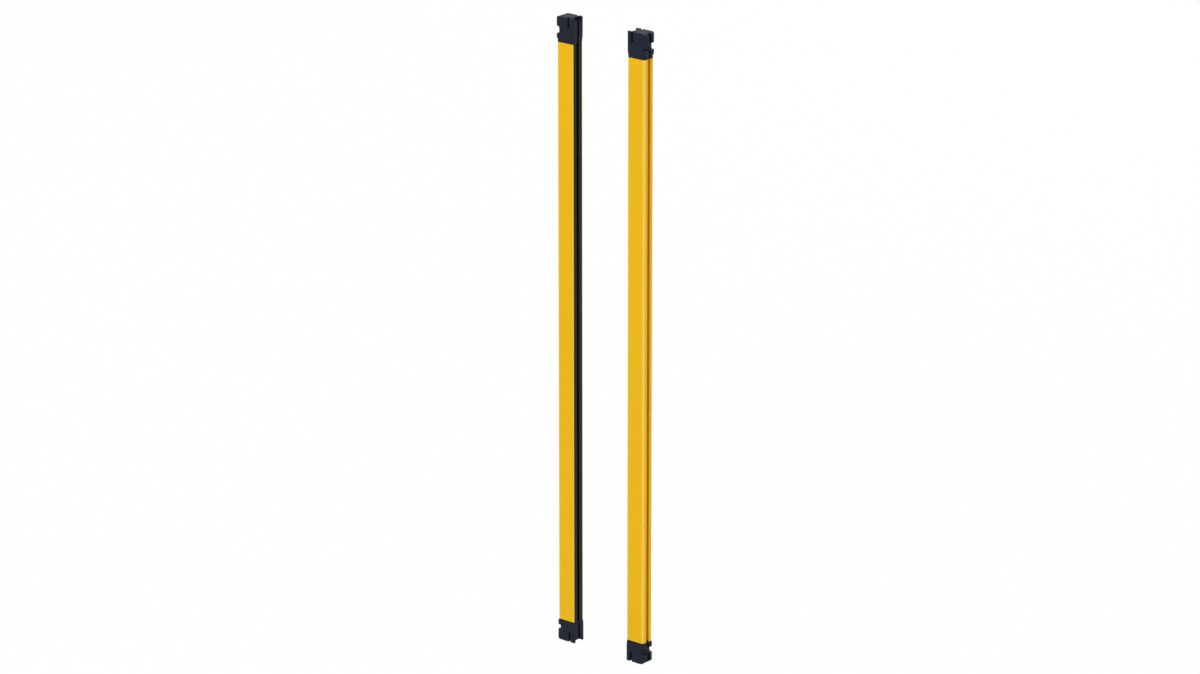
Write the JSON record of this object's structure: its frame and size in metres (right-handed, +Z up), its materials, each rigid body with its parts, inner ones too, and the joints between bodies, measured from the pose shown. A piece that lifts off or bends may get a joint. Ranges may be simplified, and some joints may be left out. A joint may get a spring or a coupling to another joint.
{
  "type": "safety light curtain",
  "caption": "Slim upright emitter and receiver bars, yellow extrusions with black end caps, whose infrared beams guard a machine opening.",
  "frame": {"origin": "midway between the two bars, at the level of their bottom ends", "axes": "+X from the emitter to the receiver, +Y across the bars' width, +Z up along the bars"},
  "size_m": [0.2306, 0.0308, 1.32],
  "materials": {
    "housing_coat": "satin yellow powder coat on aluminium",
    "window_dark": "deep black infrared-pass sheet",
    "strip_plastic": "charcoal plastic",
    "cap_plastic": "fine-grained black moulding",
    "seal_rubber": "matt black",
    "lens_plastic": "clear moulded plastic",
    "carrier_plastic": "black moulded plastic",
    "board": "green glass-fibre circuit board",
    "diode_resin": "clear resin package",
    "screw_steel": "blackened steel",
    "contact_brass": "gold-plated"
  },
  "bodies": {
    "root": {"emitter_housing": "housing_coat", "emitter_window": "window_dark", "emitter_left_window_strip": "strip_plastic", "emitter_right_window_strip": "strip_plastic", "emitter_window_seals": "seal_rubber", "emitter_lens_strip": "lens_plastic", "emitter_optic_carrier": "carrier_plastic", "emitter_optic_board": "board", "emitter_light_diodes": "diode_resin", "emitter_control_board": "board", "emitter_board_header": "carrier_plastic", "emitter_top_cap": "cap_plastic", "emitter_bottom_cap": "cap_plastic", "emitter_top_gasket": "seal_rubber", "emitter_bottom_gasket": "seal_rubber", "emitter_top_cap_screws": "screw_steel", "emitter_bottom_cap_screws": "screw_steel", "emitter_connector_insert": "carrier_plastic", "emitter_connector_contacts": "contact_brass", "receiver_housing": "housing_coat", "receiver_window": "window_dark", "receiver_left_window_strip": "strip_plastic", "receiver_right_window_strip": "strip_plastic", "receiver_window_seals": "seal_rubber", "receiver_lens_strip": "lens_plastic", "receiver_optic_carrier": "carrier_plastic", "receiver_optic_board": "board", "receiver_photo_diodes": "diode_resin", "receiver_control_board": "board", "receiver_board_header": "carrier_plastic", "receiver_top_cap": "cap_plastic", "receiver_bottom_cap": "cap_plastic", "receiver_top_gasket": "seal_rubber", "receiver_bottom_gasket": "seal_rubber", "receiver_top_cap_screws": "screw_steel", "receiver_bottom_cap_screws": "screw_steel", "receiver_connector_insert": "carrier_plastic", "receiver_connector_contacts": "contact_brass"}
  },
  "joints": []
}
